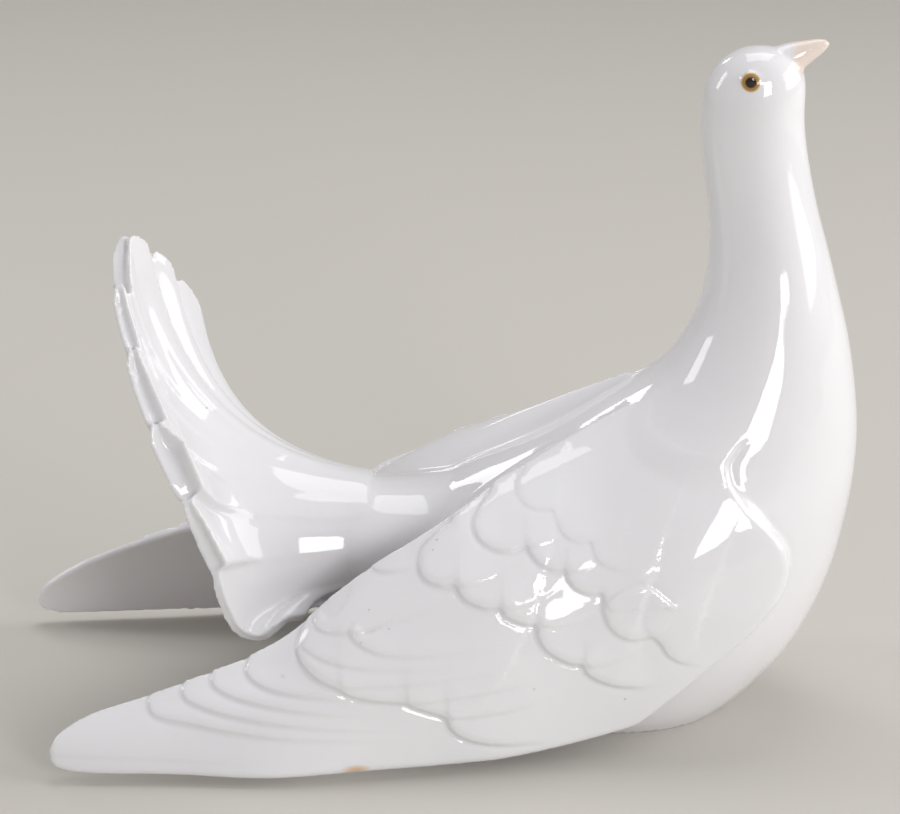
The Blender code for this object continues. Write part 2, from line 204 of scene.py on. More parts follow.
# Tail feathers, each from the side nearer the middle of the tail to its outer side: the two places on the
# rim, how far its outer edge stands over the next feather, how far its hollow underside stands below it,
# and by which share of its width it has risen
TAIL_FEATHERS = (
    (TOP_FEATHER, -1, 4.2, 4.2, 1.0),
    (-1, -2, 3.2, 3.6, 1.0),
    (-2, -3, 5.7, 4.3, 1.2),
    (-3, -4, 7.3, 4.7, 0.35),
    (-4, -4.52, 6.5, 3.6, 1.2),
    (-4.52, -6.4, 2.0, 2.6, 1.0),
    (TOP_FEATHER, 1.35, 3.0, 3.0, 1.0),
    (1.35, 2.35, 3.0, 3.0, 1.0),
    (2.35, 4.0, 3.0, 3.5, 1.0),
    (4.0, 5.0, 4.0, 3.5, 1.0),
    (5.0, 6.1, 4.0, 3.0, 1.0),
    (6.1, 8.2, 2.2, 2.2, 1.0),
)

# The wing's front edge and its end, as places at each share of its depth
WING_FRONT = (
    (0, 22), (0.1, 30), (0.2, 38), (0.3, 39), (0.42, 44), (0.55, 53), (0.66, 59), (0.76, 56), (0.83, 50),
    (0.89, 42), (0.94, 26), (1, 6),
)
WING_END = ((0, -183), (0.08, -190.5), (0.2, -195.5), (0.45, -198), (0.7, -198.5), (0.9, -197), (1, -192))

# Feather edges on the wing, seen straight from the side: how far the feathers on the left of each line, as
# it runs, stand over those on its right, as a share of the layer step, how soon that dies away, from which
# share of the line on it fades, and the places and heights along the line. First the long flight feathers.
FLIGHT_EDGES = (
    (0.35, 9, 0.5, ((-198, 10), (-182, 9.6), (-164, 9), (-140, 8.4), (-112, 8))),
    (1.5, 9, 0.6, ((-159, 32), (-163.5, 29), (-164.6, 25.5), (-161, 22), (-148, 20), (-134, 18),
                   (-102, 15), (-58, 13))),
    (1.5, 8, 0.6, ((-148, 36), (-152, 32), (-152.6, 28.6), (-148.5, 26), (-134, 22.8), (-102, 19),
                   (-62, 16))),
    (1.5, 8, 0.6, ((-138, 40), (-142, 35.5), (-142.6, 32.2), (-138.5, 29.6), (-128, 27.2), (-102, 24),
                   (-72, 22.5))),
    (1.4, 8, 0.6, ((-126, 44), (-130, 39), (-130.4, 35.4), (-126, 32.6), (-118, 30.8), (-98, 29),
                   (-80, 28))),
)

# The secondaries: the stepped edge of the whole row, then the lines between its feathers
SECONDARY_EDGES = (
    (2.0, 30, 0.8, ((-104, 58), (-109, 53), (-112, 48), (-113, 43.5), (-110.5, 39), (-105, 35), (-99, 32.6),
                    (-96.5, 31), (-91, 29), (-83, 27.6), (-76, 27), (-73.5, 25.8), (-67, 23.4), (-62, 21.4),
                    (-60.5, 18), (-57, 14.6), (-51, 12), (-42, 10.4), (-30, 10), (-18, 11))),
    (0.8, 9, 0.3, ((-104, 56), (-107, 52), (-103, 49.6), (-90, 51), (-74, 56), (-60, 62), (-50, 67))),
    (0.9, 9, 0.3, ((-92, 54), (-94.5, 50), (-89, 45.5), (-78, 43), (-55, 44), (-32, 48), (-20, 52))),
    (0.7, 8, 0.3, ((-112, 45), (-104, 41.5), (-94, 39.5), (-78, 38.5), (-58, 39), (-40, 41))),
    (0.8, 8, 0.3, ((-99, 32.8), (-90, 33), (-75, 33.4), (-56, 35.5), (-40, 38), (-28, 41))),
    (0.8, 8, 0.3, ((-76, 27), (-66, 27.4), (-48, 29.6), (-32, 32), (-18, 36))),
    (0.8, 8, 0.3, ((-62, 21.4), (-54, 21.4), (-40, 22.6), (-26, 26), (-12, 31))),
)

# The three rows of coverts, each again with its whole edge and the lines between its feathers
COVERT_EDGES = (
    (0.9, 9, 0.5, ((-84, 74), (-88, 70), (-84, 68.4), (-76, 70), (-70, 73))),
    (1.8, 24, 0.9, ((-60, 84), (-66, 80), (-70, 76), (-71, 71), (-68.5, 67.4), (-63, 65.6), (-58.5, 66),
                    (-57, 63.5), (-54, 60.6), (-48, 58.4), (-43, 58.4), (-41.5, 56), (-38, 54), (-34, 52.6),
                    (-30.5, 52.4), (-30, 48.5), (-27.5, 44), (-23, 40.4), (-18, 38), (-14.5, 37.4),
                    (-12.5, 34), (-8, 31), (-2, 28.8), (6, 28), (14, 29))),
    (0.7, 6, 0.1, ((-58.5, 66), (-52, 66), (-45, 68.5), (-38, 73), (-33, 77))),
    (0.7, 6, 0.1, ((-43, 58.4), (-36, 58.6), (-28, 61.4), (-21, 65.6), (-15, 70))),
    (0.7, 6, 0.1, ((-30.5, 52.4), (-23, 51.6), (-15, 53.6), (-8, 57.4), (-3, 61))),
    (0.7, 6, 0.1, ((-14.5, 37.4), (-7, 37), (0, 39.6), (7, 44), (12, 48))),
)

UPPER_COVERT_EDGES = (
    (1.2, 20, 0.85, ((-46, 92), (-50, 88), (-52, 84), (-50.6, 80), (-46, 77), (-40, 76), (-34, 77.6),
                     (-32.5, 75.5), (-29, 72), (-24, 70), (-20.5, 70), (-19.5, 67), (-16.5, 63.8), (-12, 62),
                     (-7.5, 62), (-7.4, 57), (-5.6, 51.6), (-1.6, 47.4), (4, 45.6), (9.5, 46.4), (12.6, 44),
                     (16, 39), (21, 36), (27, 35), (34, 37))),
    (0.45, 6, 0.1, ((-34, 77.6), (-28, 78), (-21, 81), (-15, 86))),
    (0.45, 6, 0.1, ((-20.5, 70), (-14, 70), (-7, 73), (-1, 78))),
    (0.8, 6, 0.96, ((15, 60), (10, 64), (4, 64.6), (-2, 62.8), (-7, 59))),
    (0.4, 6, 0.1, ((9.5, 46.4), (14, 49), (17, 54), (18, 60))),
)

SHOULDER_COVERT_EDGES = (
    (0.45, 9, 0.8, ((-34, 98), (-37, 94), (-35, 90), (-30, 88), (-24.5, 88), (-23.4, 85), (-20.6, 80.8),
                    (-16, 78.6), (-11.5, 78.8), (-10.4, 75), (-7, 71.4), (-1, 69.8), (5, 71))),
)

# Lines that fade only from ROW_EDGE on are the free edge of a feather or a row. The others lie between two
# feathers of a row, and also fade in over their first share.
ROW_EDGE = 0.5
LINE_FADE_IN = 0.06

# The crease where each wing's shoulder lies over the breast, from its hooked top down to the belly, as place
# and height, then how far the shoulder is lifted there and how deep the breast is hollowed beside it
SHOULDER_CREASE = (
    (45.4, 114), (41.5, 111.2), (38.6, 107.6), (36.6, 104.4), (36.5, 101.6), (37.4, 97.2), (39.6, 93.5),
    (42.6, 89.4), (46.5, 85.7), (52.1, 80.2), (56.6, 74.3), (58.3, 67.1), (57.6, 61), (55.2, 55.4),
    (48.9, 46.6), (40.9, 37.8),
)
CREASE_LIFT = 1.1
CREASE_HOLLOW = 0.35

# The raised eye: place and height, radius, half thickness, and how far its middle lies inside the head. Then
# the bump over the root of the beak, as middle and radii, and the place where the beak's colour begins.
EYE_PLACE = (42.7, 233)
EYE_RADIUS = 3.6
EYE_BULGE = 1.9
EYE_DEPTH = 1.0
CERE_MIDDLE = (55.0, 0.0, 237.6)
CERE_RADII = (4.2, 4.6, 4.4)
BEAK_ROOT = 57.5

# Flaws of the firing on the near side, measured from the frame's own zero point: place, radius, how far it
# is drawn out along the wing, strength and colour. Iron specks, two dark spots of painted shade that stand
# for the inside of two open pits by the wing's upper edge, and a rusty stain below it.
FLAWS_AND_PIT_SHADE = (
    ((-21.8, -61.3, 58.4), 0.55, 1.0, 0.45, "#9C7A4E"),
    ((-14.9, -64.6, 52.7), 0.55, 1.0, 0.45, "#9C7A4E"),
    ((-24.5, -66.8, 48.4), 0.6, 1.0, 0.30, "#B39468"),
    ((35.2, -65.3, 30.4), 0.7, 1.0, 0.30, "#B39468"),
    ((64.2, -51.4, 77.8), 0.5, 1.0, 0.65, "#6E655C"),
    ((78.4, -50.0, 81.0), 0.45, 1.0, 0.45, "#8B8178"),
    ((67.1, -59.7, 24.2), 0.6, 1.0, 0.45, "#A98A5E"),
    ((-80.5, -2.2, 111.7), 0.5, 1.0, 0.65, "#6E655C"),
    # The two pits: dark spots of painted shade where the holes in the glaze would be
    ((1.6, -50.1, 79.9), 0.7, 1.0, 0.40, "#8F8470"),
    ((0.2, -52.6, 77.1), 0.6, 1.0, 0.40, "#8F8470"),
    ((-26.7, -76.0, 5.0), 1.9, 3.4, 0.75, "#D9AE78"),
)

# Most triangles that the skin keeps, and what counts as its flat foot: faces this level and this low
SKIN_LIMIT = 190000
FOOT_LEVEL = -0.99
FOOT_HEIGHT = 0.0003

# Soft boxes: heading in degrees from the camera's side to the right, rise in degrees, distance, width and
# height in metres, and power in watts
SOFT_BOXES = {
    "key_box": (24, 17, 1.6, (0.42, 0.52), 7.0),
    "left_box": (-100, 27, 1.6, (0.33, 0.6), 3.2),
    "right_box": (90, 20, 1.9, (1.9, 1.1), 20.0),
    "top_box": (170, 72, 1.5, (0.9, 0.9), 6.5),
    "back_box": (-152, 31, 1.6, (0.25, 0.3), 1.0),
}
LAMP_AIM = Vector((0.05, 0.0, 0.09))
CAMERA_AIM = Vector((0.0061, 0.0008, 0.111))


def hex_colour(code):
    """A linear colour with alpha, from an sRGB hex code."""
    parts = [int(code[k:k + 2], 16) / 255 for k in (1, 3, 5)]
    return tuple(c / 12.92 if c <= 0.04045 else ((c + 0.055) / 1.055) ** 2.4 for c in parts) + (1.0,)


def deselect():
    if bpy.context.object and bpy.context.object.mode != "OBJECT":
        bpy.ops.object.mode_set(mode="OBJECT")
    bpy.ops.object.select_all(action="DESELECT")


def through(table, at):
    """Rows of a table at the values of its first column, read from a smooth curve through the rows."""
    rows = np.array(sorted(table), float)
    x, y = rows[:, 0], rows[:, 1:]
    slope = np.empty_like(y)
    slope[1:-1] = (y[2:] - y[:-2]) / (x[2:] - x[:-2])[:, None]
    slope[0] = (y[1] - y[0]) / (x[1] - x[0])
    slope[-1] = (y[-1] - y[-2]) / (x[-1] - x[-2])
    at = np.clip(np.asarray(at, float), x[0], x[-1])
    i = np.clip(np.searchsorted(x, at, "right") - 1, 0, len(x) - 2)
    span = (x[i + 1] - x[i])[..., None]
    s = (at - x[i])[..., None] / span
    return (
        y[i] * (2 * s**3 - 3 * s**2 + 1)
        + slope[i] * span * (s**3 - 2 * s**2 + s)
        + y[i + 1] * (3 * s**2 - 2 * s**3)
        + slope[i + 1] * span * (s**3 - s**2)
    )


def mix(low, high, share):
    return low + (high - low) * share


def read_vectors(mesh, kind):
    """The points ("co") or normals ("normal") of a mesh's vertices, as rows of three."""
    flat = np.empty(len(mesh.vertices) * 3, np.float32)
    mesh.vertices.foreach_get(kind, flat)
    return flat.reshape(-1, 3).astype(float)


def move_points(mesh, points):
    mesh.vertices.foreach_set("co", points.astype(np.float32).ravel())
    mesh.update()


def shape_ball(name, segments, rings, place):
    """Adds a ball and moves its points. place(along, turn) gives them in millimetres, from how far each
    lies from one pole to the other (0 to 1) and its angle round."""
    deselect()
    bpy.ops.mesh.primitive_uv_sphere_add(segments=segments, ring_count=rings, radius=1.0)
    piece = bpy.context.object
    piece.name = name
    unit = read_vectors(piece.data, "co")
    along = np.clip((1 - unit[:, 2]) / 2, 0, 1)
    turn = np.arctan2(unit[:, 1], unit[:, 0])
    move_points(piece.data, place(along, turn) * MM)
    return piece


def shape_sheets(name, columns, rows, sheets):
    """Adds a grid extruded into a closed stack of sheets. Gives the piece, with the shares across its
    columns and rows and the number of its sheet for each point."""
    deselect()
    bpy.ops.mesh.primitive_grid_add(x_subdivisions=columns - 1, y_subdivisions=rows - 1, size=1.0)
    piece = bpy.context.object
    piece.name = name
    bpy.ops.object.mode_set(mode="EDIT")
    bpy.ops.mesh.select_all(action="SELECT")
    for _ in range(sheets - 1):
        bpy.ops.mesh.extrude_region_move(TRANSFORM_OT_translate={"value": (0, 0, -1.0)})
    bpy.ops.object.mode_set(mode="OBJECT")
    points = read_vectors(piece.data, "co")
    return piece, points[:, 0] + 0.5, points[:, 1] + 0.5, np.round(-points[:, 2]).astype(int)


def open_at_ends(along):
    """0 at the two poles and 1 elsewhere, so that a flat end closes at its middle."""
    return np.where((along < 1e-6) | (along > 1 - 1e-6), 0.0, 1.0)


def eased(along):
    """Shares that run evenly along a form but lie closer together towards its ends."""
    return np.sin(np.pi / 2 * np.arccos(1 - 2 * along) / np.pi)


def body_form():
    lowest, highest = BODY_SLICES[0][0], BODY_SLICES[-1][0]

    def place(along, turn):
        level = mix(lowest, highest, eased(along))
        back, front, half_width, middle = through(BODY_SLICES, level).T
        end = open_at_ends(along)
        reach = np.where(np.cos(turn) > 0, front - middle, middle - back)
        return np.stack([
            middle + reach * np.cos(turn) * end,
            half_width * np.sin(turn) * end,
            level,
        ], 1)

    return shape_ball("torso", 120, 260, place)


def upright_form(name, table, segments, rings):
    first, last = table[0][0], table[-1][0]

    def place(along, turn):
        x = mix(first, last, eased(along))
        height, half_height, half_width = through(table, x).T
        end = open_at_ends(along)
        return np.stack([
            x,
            half_width * np.cos(turn) * end,
            height + half_height * np.sin(turn) * end,
        ], 1)

    return shape_ball(name, segments, rings, place)


def wing_section(x):
    v = through(WING_SECTIONS, x)
    return v[..., 0:2], v[..., 2:4], v[..., 4:6]


def wing_line(x, q):
    upper, bulge, lower = wing_section(x)
    q = np.asarray(q, float)[..., None]
    return upper * (1 - q) ** 2 + bulge * (2 * q * (1 - q)) + lower * q**2


def wing_depth(x):
    upper, bulge, lower = wing_section(x)
    spans = [np.linalg.norm(b - a, axis=-1) for a, b in ((upper, bulge), (bulge, lower), (upper, lower))]
    return sum(spans) / 2


def left_wing_rise(beyond, q):
    return LEFT_WING_RISE * np.sin(np.pi * np.minimum(1, beyond)) * (1 - q)


def wing_point(side, x, q, lift):
    """Points on one wing's outer sheet, lifted off it. q is 0 at the upper edge, 1 at the lower."""
    here = wing_line(x, q)
    run = wing_line(x, q + 0.01) - wing_line(x, q - 0.01)
    out = np.stack([-run[..., 1], run[..., 0]], -1)
    out /= np.linalg.norm(out, axis=-1, keepdims=True)
    out = np.where(out[..., :1] < 0, -out, out)
    y, z = np.moveaxis(here + out * lift[..., None], -1, 0)
    if side > 0:
        beyond = np.clip((OUTER_WING - x) / OUTER_WING_LENGTH, 0, None)
        x = x - LEFT_WING_STRETCH * OUTER_WING_LENGTH * beyond
        y = y * (1 - LEFT_WING_TUCK * beyond)
        z = z + left_wing_rise(beyond, q)
    return np.stack([x, side * y, z], -1)


def tail_sheet(t, u):
    rim = through(TAIL_RIM, u)
    turn = np.arctan2(rim[..., 1], rim[..., 2] - TAIL_ROOT[1])
    root = np.stack([
        np.full_like(turn, TAIL_ROOT[0]),
        TAIL_ROOT_RADIUS * np.sin(turn),
        TAIL_ROOT[1] + TAIL_ROOT_RADIUS * np.cos(turn),
    ], -1)
    bend = root + (rim - root) * np.array([0.86, 0.3, 0.1])
    t = t[..., None]
    return root * (1 - t) ** 2 + bend * (2 * t * (1 - t)) + rim * t**2


def tail_point(t, u, lift):
    """Points on the tail's middle sheet, lifted off it. t is 0 at the rump and 1 at the rim."""
    along = tail_sheet(t + 0.01, u) - tail_sheet(t - 0.01, u)
    across = tail_sheet(t, u + 0.05) - tail_sheet(t, u - 0.05)
    upper = np.cross(across, along)
    upper /= np.linalg.norm(upper, axis=-1, keepdims=True)
    return tail_sheet(t, u) + upper * lift[..., None]


def rounded(distance, radius):
    """How far a surface drops within a radius of its edge, as a quarter circle."""
    t = np.clip(distance / radius, 0, 1)
    return radius * (1 - np.sqrt(np.clip(1 - (1 - t) ** 2, 0, 1)))


def ramp(value, low, high):
    t = np.clip((value - low) / (high - low), 0, 1)
    return t * t * (3 - 2 * t)


def wing_form(side, settings):
    """One wing as a closed slab: the outer sheet with rounded edges, and the hollow inner side."""
    piece, s, q, sheet = shape_sheets("wing_left" if side > 0 else "wing_right", 330, 150, 2)
    front, end = through(WING_FRONT, q)[:, 0], through(WING_END, q)[:, 0]
    x = mix(front, end, s)
    depth = wing_depth(x)
    upper_round = mix(SHOULDER_ROUND, TIP_ROUND, ramp(-x, 0, 120))
    lift = -rounded(front - x, SHOULDER_ROUND) - rounded(x - end, TIP_ROUND)
    lift -= rounded(q * depth, upper_round) + rounded((1 - q) * depth, TIP_ROUND)
    lift = np.maximum(lift, -DEEPEST_ROUND)
    feather = settings.feather_thickness / MM
    root = ROOT_THICKNESS * ramp(x, -60, 20) * ramp(0.95 - q, 0.0, 0.3)
    thick = mix(feather, WING_THICKNESS, ramp(x, -150, -40)) + root
    lift = np.where(sheet == 1, -thick, np.maximum(lift, -thick + LEAST_THICKNESS))
    move_points(piece.data, wing_point(side, x, q, lift) * MM)
    return piece


def line_gap(x, z, points):
    """How far places lie from a smooth line through points, positive to its left, and the share of the line
    at which they are nearest to it."""
    pieces_per_point = 7
    steps = np.linspace(0, len(points) - 1, pieces_per_point * len(points))
    line = through([(k, *point) for k, point in enumerate(points)], steps)
    nearest, signed, along = np.full_like(x, 1e9), np.zeros_like(x), np.zeros_like(x)
    for k, ((from_x, from_z), (to_x, to_z)) in enumerate(zip(line[:-1], line[1:])):
        run_x, run_z = to_x - from_x, to_z - from_z
        share = ((x - from_x) * run_x + (z - from_z) * run_z) / (run_x**2 + run_z**2)
        share = np.clip(share, 0, 1)
        gap = np.hypot(x - from_x - share * run_x, z - from_z - share * run_z)
        closer = gap < nearest
        left = np.sign(run_x * (z - from_z) - run_z * (x - from_x))
        nearest = np.where(closer, gap, nearest)
        signed = np.where(closer, gap * left, signed)
        along = np.where(closer, (k + share) / (len(line) - 1), along)
    return signed, along


def crease_relief(x, z):
    """The height that lifts the wing's shoulder over the breast along its crease."""
    signed, _ = line_gap(x, z, SHOULDER_CREASE[::-1])
    lift = CREASE_LIFT * ramp(signed, -0.2, 1.4)
    hollow = CREASE_HOLLOW * np.exp(-((signed + 1.3) / 1.4) ** 2)
    return (lift - hollow) * ramp(z, 36, 56) * (1 - ramp(z, 105, 115))


def wing_relief(x, z, settings):
    """Height of the feather carving over the smooth wing. Each step is steep first and then gentle, with a
    shallow groove at its foot, and is worked out only where it still counts."""
    steep_share, groove_share = 0.65, 0.25
    below, reaches_above = 2.0, 4.0
    height = np.zeros_like(x)
    for edges in (FLIGHT_EDGES, SECONDARY_EDGES, COVERT_EDGES, UPPER_COVERT_EDGES, SHOULDER_COVERT_EDGES):
        for rise, reach, fades_from, points in edges:
            low, high = np.min(points, axis=0) - below, np.max(points, axis=0) + reaches_above * reach
            near = (x > low[0]) & (x < high[0]) & (z > low[1]) & (z < high[1])
            signed, along = line_gap(x[near], z[near], points)
            step = steep_share * ramp(signed, -0.1, 0.8) + (1 - steep_share) * ramp(signed, 0.0, 3.5)
            groove = groove_share * np.exp(-((signed + 0.6) / 0.8) ** 2)
            fade = 1 - ramp(along, fades_from, 1.0)
            if fades_from < ROW_EDGE:
                fade = fade * ramp(along, 0.0, LINE_FADE_IN)
            dying = np.exp(-np.clip(signed, 0, None) / reach)
            height[near] += settings.layer_step / MM * rise * fade * (step * dying - groove)
    return height


def carve_wings(dove, settings):
    """Raises the feather carving and the shoulder's crease on the outer side of both wings. The share q of
    the wing's depth at which a point lies is found by halving."""
    halvings, sheet_gap, wing_front = 18, 3.5, 60
    points, normals = read_vectors(dove.data, "co"), read_vectors(dove.data, "normal")
    local = (points - np.array(MIDDLE)) / MM
    for side in (-1, 1):
        x, y, z = local[:, 0], local[:, 1] * side, local[:, 2]
        if side > 0:
            left_length = OUTER_WING_LENGTH * (1 + LEFT_WING_STRETCH)
            beyond = np.clip((OUTER_WING - x) / left_length, 0, None)
            x = x + LEFT_WING_STRETCH * OUTER_WING_LENGTH * beyond
        low, high = np.zeros(len(points)), np.ones(len(points))
        for _ in range(halvings):
            q = (low + high) / 2
            at = wing_line(x, q)[:, 1]
            if side > 0:
                at = at + left_wing_rise(beyond, q)
            low, high = np.where(at > z, q, low), np.where(at > z, high, q)
        sheet = wing_line(x, q)
        if side > 0:
            y = y / (1 - LEFT_WING_TUCK * beyond)
            z = sheet[:, 1]
        facing = normals[:, 1] * side
        near = (np.abs(y - sheet[:, 0]) < sheet_gap) & (facing > -0.2) & (x < wing_front)
        weight = near * ramp(facing, -0.1, 0.35) * ramp(q, 0.0, 0.05)
        height = wing_relief(x, z, settings) * weight
        # Where the shoulder's crease runs, with room for it to fade out
        breast = (x > -12) & (x < 80) & (z > 15) & (z < 130) & (y > 18)
        crease = crease_relief(x[breast], z[breast]) * ramp(x[breast], -12.0, 26.0)
        height[breast] += crease * ramp(facing[breast], 0.1, 0.4)
        points += normals * (height * MM)[:, None]
    move_points(dove.data, points)


def mantle_form(side):
    """The feathered back between one wing's upper edge and the rump, which closes the valley there."""

    def place(along, turn):
        x = mix(MANTLE_BACK[side], MANTLE_FRONT, along)
        upper, _, _ = wing_section(x)
        bow = np.sqrt(np.clip(1 - (2 * along - 1) ** 2, 0, 1)) ** 0.4 * open_at_ends(along)
        out, level = upper[:, 0] - MANTLE_INSET, upper[:, 1] + MANTLE_RISE[side]
        middle, half = (out + MANTLE_INNER) / 2, (out - MANTLE_INNER) / 2
        slope = MANTLE_SLOPE * np.cos(turn)
        return np.stack([
            x,
            side * (middle + half * np.cos(turn) * bow),
            level - MANTLE_THICKNESS + (slope + MANTLE_THICKNESS * np.sin(turn)) * bow,
        ], 1)

    return shape_ball("mantle_left" if side > 0 else "mantle_right", 48, 60, place)


def tail_form(settings):
    """The tail as a closed fan of five sheets: the upper side stepping from feather to feather, three
    sheets that end in the hollow ends of the feathers along the rim, and the lower side."""
    piece, u, t, sheet = shape_sheets("tail", 340, 130, 5)
    u = mix(TAIL_RIM[0][0], TAIL_RIM[-1][0], u)
    t = np.clip(t, 0, 1)
    half = settings.tail_thickness / MM / 2
    over, under, knob = np.full_like(u, half), np.full_like(u, half), np.zeros_like(u)
    for inner, outer, rise, reach, soon in TAIL_FEATHERS:
        share = (u - inner) / (outer - inner)
        here = (share >= 0) & (share < 1)
        share = np.clip(share, 0, 1)
        closing = 1 - ramp(share, 0.94, 1.0)
        if inner > 0:
            bump = -NOTCH * ramp(share, 0.7, 1.0) - NOTCH * (1 - ramp(share, 0.0, 0.3)) * (inner > 1)
        else:
            bump = CORNER * (1 - ramp(share, 0.05, 0.4))
        knob = np.where(here, bump - OUTER_CORNER * ramp(share, 0.8, 0.97), knob)
        step = (rise - half) * np.minimum(1, share / soon) ** 0.9 * closing
        opening = 1.0 if inner == TOP_FEATHER else ramp(share, 0, 0.25)
        hollow = (reach - half) * opening * (1 - 0.3 * share) * closing
        over = np.where(here, half + step * mix(0.06, 1.0, ramp(t, 0.45, 1.0)), over)
        under = np.where(here, half + hollow * mix(0.2, 1.0, ramp(t, 0.4, 0.95)), under)
    under = under + TAIL_FOOT_THICKNESS * (1 - ramp(t, 0.3, 0.8))
    lip = np.minimum(TAIL_LIP, TAIL_LIP_SHARE * (over + under))
    lift = np.choose(sheet, [over, over - lip, (over - under) / 2, lip - under, -under])
    scoop = np.where(sheet == 2, TAIL_HOLLOW * (over + under), 0.0) / TAIL_LENGTH
    move_points(piece.data, tail_point(t * (1 - scoop) + knob * ramp(t, 0.9, 1.0), u, lift) * MM)
    return piece


def oval_form(name, middle, radii, pole):
    """A small oval ball, with its poles along one of the three directions."""
    first, second = [k for k in range(3) if k != pole]

    def place(along, turn):
        bow = np.sqrt(np.clip(1 - (1 - 2 * along) ** 2, 0, 1))
        points = np.empty((len(along), 3))
        points[:, first] = middle[first] + radii[first] * bow * np.cos(turn)
        points[:, second] = middle[second] + radii[second] * bow * np.sin(turn)
        points[:, pole] = middle[pole] + radii[pole] * (1 - 2 * along)
        return points

    return shape_ball(name, 32, 24, place)


def head_forms():
    """The beak, the bump over its root and the raised eyes, which stand on the head's side."""
    forms = [upright_form("beak", BEAK_SLICES, 64, 70), oval_form("cere", CERE_MIDDLE, CERE_RADII, 2)]
    x, level = EYE_PLACE
    back, front, half_width, middle = through(BODY_SLICES, np.array([level]))[0]
    reach = (front - middle) if x > middle else (middle - back)
    out = half_width * math.sqrt(1 - ((x - middle) / reach) ** 2)
    for side, name in ((-1, "eye_right"), (1, "eye_left")):
        middle = (x, side * (out - EYE_DEPTH), level)
        forms.append(oval_form(name, middle, (EYE_RADIUS, EYE_BULGE, EYE_RADIUS), 1))
    return forms


def add_node(tree, kind, settings=None, links=None):
    """Adds a shader node, sets its settings and input values, and links its inputs from other sockets. An
    input is given by its name or its number."""
    node = tree.nodes.new(kind)
    for key, value in (settings or {}).items():
        if isinstance(key, int) or key in node.inputs:
            node.inputs[key].default_value = value
        else:
            setattr(node, key, value)
    for key, socket in (links or {}).items():
        tree.links.new(socket, node.inputs[key])
    return node


